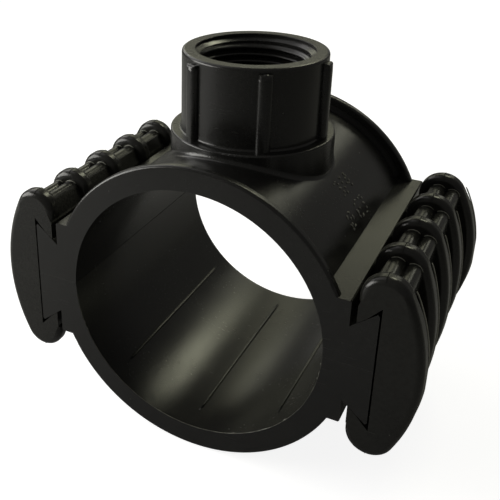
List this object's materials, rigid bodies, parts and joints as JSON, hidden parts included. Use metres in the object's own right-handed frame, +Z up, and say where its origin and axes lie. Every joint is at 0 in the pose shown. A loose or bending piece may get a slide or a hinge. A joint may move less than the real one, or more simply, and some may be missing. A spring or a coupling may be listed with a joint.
{
  "type": "saddle clamp",
  "caption": "Black plastic saddle clamp for a 63 mm pipe: two half shells held by finned wedge clips, with a ribbed threaded outlet on top.",
  "frame": {"origin": "on the pipe's axis at the middle of the saddle's length, straight below the outlet's axis", "axes": "+Y along the pipe, away from the end that the clips lead with; +Z up along the outlet; +X to the right clip"},
  "size_m": [0.1058, 0.067, 0.0934],
  "materials": {
    "black_plastic": "satin, as moulded",
    "clip_plastic": "satin, as moulded",
    "seal_rubber": "matt"
  },
  "bodies": {
    "saddle": {"upper_saddle": "black_plastic", "lower_saddle": "black_plastic", "outlet_seal": "seal_rubber"},
    "left_clip": {"left_wedge_clip": "clip_plastic"},
    "right_clip": {"right_wedge_clip": "clip_plastic"}
  },
  "joints": [
    {"name": "left_clip_slide", "type": "slide", "parent": "saddle", "child": "left_clip", "axis": [0, 1, 0], "range_m": [0, 0.07]},
    {"name": "right_clip_slide", "type": "slide", "parent": "saddle", "child": "right_clip", "axis": [0, 1, 0], "range_m": [0, 0.07]}
  ]
}
